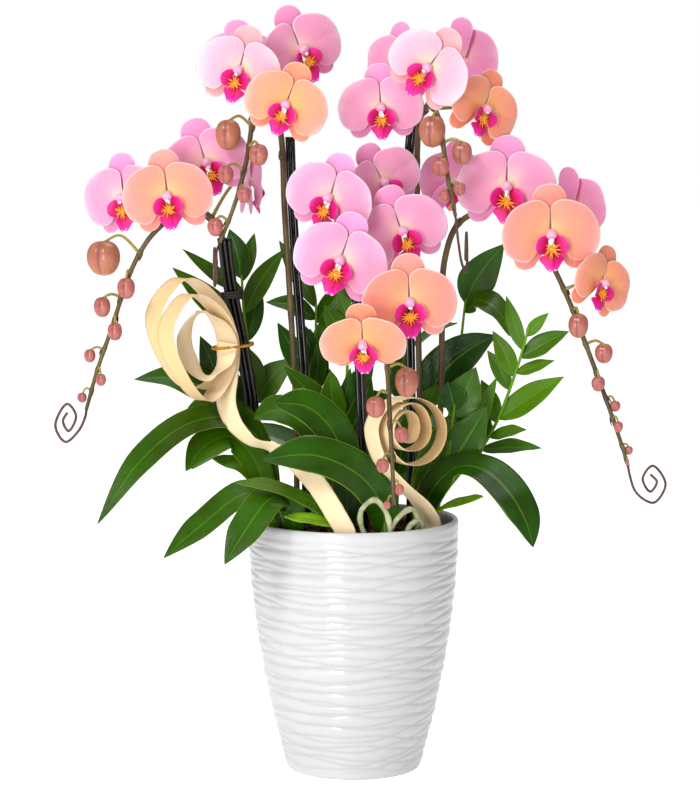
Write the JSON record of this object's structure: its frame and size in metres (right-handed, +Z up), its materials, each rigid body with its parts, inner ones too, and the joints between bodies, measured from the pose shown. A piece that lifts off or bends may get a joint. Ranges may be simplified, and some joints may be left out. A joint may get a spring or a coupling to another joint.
{
  "type": "potted moth orchid",
  "caption": "Arching moth orchid flower spikes on canes and spiral wires with leaves, leafy sprigs and wood-shaving coils in a white wave-relief planter.",
  "frame": {"origin": "centre of the planter's flat underside", "axes": "+Z up; the front faces -Y; +X to the right of somebody who looks at the front"},
  "size_m": [0.5611, 0.3845, 0.7203],
  "materials": {
    "white_glaze": "gloss",
    "potting_mix": "matte",
    "flower_stem": "satin",
    "black_cane": "gloss",
    "bronze_wire": "satin",
    "wood_shaving": "matte",
    "orchid_leaf": "satin",
    "sprig_leaf": "satin",
    "pink_petal": "satin",
    "blush_petal": "satin",
    "peach_petal": "satin",
    "orange_petal": "satin",
    "air_root": "matte",
    "black_wire": "satin",
    "gold_twist": "gloss"
  },
  "bodies": {
    "root": {"air_roots": "air_root", "black_tie": "black_wire", "bloom_01": "blush_petal", "bloom_02": "pink_petal", "bloom_03": "orange_petal", "bloom_04": "pink_petal", "bloom_05": "pink_petal", "bloom_06": "pink_petal", "bloom_07": "pink_petal", "bloom_08": "peach_petal", "bloom_09": "pink_petal", "bloom_10": "blush_petal", "bloom_11": "pink_petal", "bloom_12": "pink_petal", "bloom_13": "orange_petal", "bloom_14": "pink_petal", "bloom_15": "pink_petal", "bloom_16": "pink_petal", "bloom_17": "pink_petal", "bloom_18": "peach_petal", "bloom_19": "orange_petal", "bloom_20": "pink_petal", "bloom_21": "pink_petal", "bloom_22": "peach_petal", "bloom_23": "pink_petal", "bloom_24": "orange_petal", "canes_a": "black_cane", "canes_b": "black_cane", "canes_c": "black_cane", "canes_e": "black_cane", "gold_tie": "gold_twist", "orchid_leaf_front": "orchid_leaf", "orchid_leaves_back": "orchid_leaf", "orchid_leaves_front_left": "orchid_leaf", "orchid_leaves_left": "orchid_leaf", "orchid_leaves_middle": "orchid_leaf", "orchid_leaves_right": "orchid_leaf", "planter": "white_glaze", "potting_mix": "potting_mix", "ribbon_left": "wood_shaving", "ribbon_right": "wood_shaving", "spike_a": "flower_stem", "spike_b": "flower_stem", "spike_c": "flower_stem", "spike_d": "flower_stem", "spike_e": "flower_stem", "sprig_left_tall": "sprig_leaf", "sprig_middle_back": "sprig_leaf", "sprig_middle_front": "sprig_leaf", "sprig_middle_left": "sprig_leaf", "sprig_right_back": "sprig_leaf", "sprig_right_inner": "sprig_leaf", "sprig_right_outer": "sprig_leaf", "sprig_right_tall": "sprig_leaf", "wire_a": "bronze_wire", "wire_b": "bronze_wire", "wire_c": "bronze_wire", "wire_d": "bronze_wire"}
  },
  "joints": []
}
